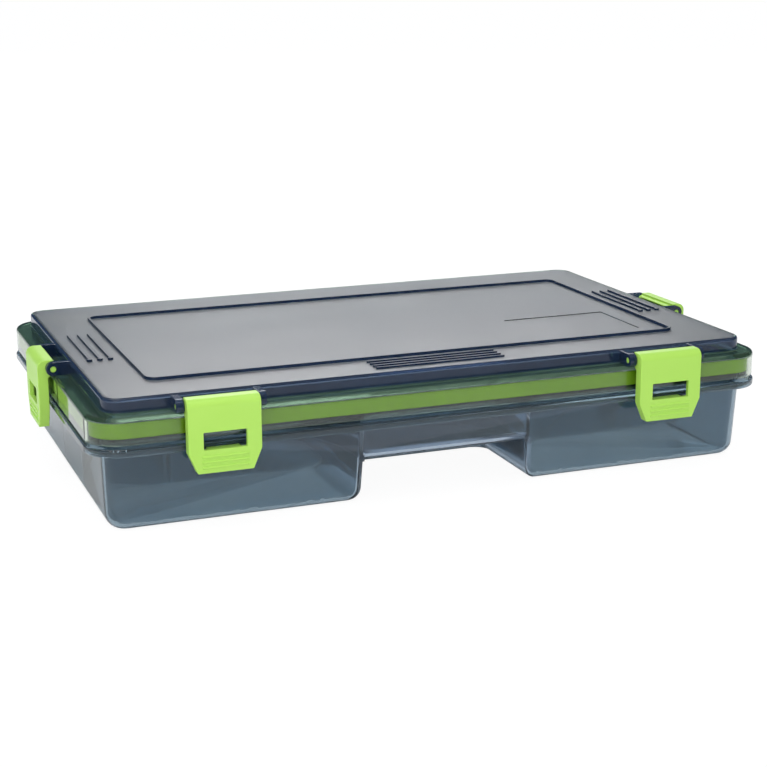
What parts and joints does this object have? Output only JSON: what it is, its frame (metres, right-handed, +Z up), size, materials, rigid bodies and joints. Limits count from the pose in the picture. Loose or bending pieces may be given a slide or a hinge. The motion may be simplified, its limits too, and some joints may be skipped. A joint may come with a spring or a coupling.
{
  "type": "waterproof tackle box",
  "caption": "Flat clear tackle box with a hinged lid, rim seal, snap latches, fixed rows, loose dividers and a grip recess under its front.",
  "frame": {"origin": "middle of the closed box, on the surface it stands on", "axes": "+X to the box's right, -Y to its front where the paired latches are, +Z up"},
  "size_m": [0.3778, 0.2412, 0.0676],
  "materials": {
    "tray_plastic": "clear smoke-grey plastic, satin inside",
    "lid_plastic": "clear smoke-grey plastic, fine satin top",
    "seal_rubber": "green rubber",
    "latch_plastic": "lime green satin plastic",
    "pin_steel": "plain drawn steel",
    "divider_plastic": "clear plastic"
  },
  "bodies": {
    "tray": {"base_tray": "tray_plastic", "rim_seal": "seal_rubber", "hinge_pin_left": "pin_steel", "hinge_pin_right": "pin_steel", "divider_front_row_1": "divider_plastic", "divider_front_row_2": "divider_plastic", "divider_front_row_3": "divider_plastic", "divider_front_row_4": "divider_plastic", "divider_middle_row_1": "divider_plastic", "divider_middle_row_2": "divider_plastic", "divider_middle_row_3": "divider_plastic", "divider_middle_row_4": "divider_plastic", "divider_back_row_1": "divider_plastic", "divider_back_row_2": "divider_plastic", "divider_back_row_3": "divider_plastic", "divider_back_row_4": "divider_plastic"},
    "lid": {"lid_shell": "lid_plastic"},
    "latch_front_left": {"latch_front_left": "latch_plastic"},
    "latch_front_right": {"latch_front_right": "latch_plastic"},
    "latch_side_left": {"latch_side_left": "latch_plastic"},
    "latch_side_right": {"latch_side_right": "latch_plastic"}
  },
  "joints": [
    {"name": "lid_hinge", "type": "hinge", "parent": "tray", "child": "lid", "pos_m": [0, 0.1173, 0.0444], "axis": [-1, 0, 0], "range_deg": [0, 180]},
    {"name": "latch_front_left_pivot", "type": "hinge", "parent": "lid", "child": "latch_front_left", "pos_m": [-0.1192, -0.1127, 0.0618], "axis": [-1, 0, 0], "range_deg": [0, 100]},
    {"name": "latch_front_right_pivot", "type": "hinge", "parent": "lid", "child": "latch_front_right", "pos_m": [0.1192, -0.1127, 0.0618], "axis": [-1, 0, 0], "range_deg": [0, 100]},
    {"name": "latch_side_left_pivot", "type": "hinge", "parent": "lid", "child": "latch_side_left", "pos_m": [-0.181, 0, 0.0618], "axis": [0, 1, 0], "range_deg": [0, 100]},
    {"name": "latch_side_right_pivot", "type": "hinge", "parent": "lid", "child": "latch_side_right", "pos_m": [0.181, 0, 0.0618], "axis": [0, -1, 0], "range_deg": [0, 100]}
  ]
}
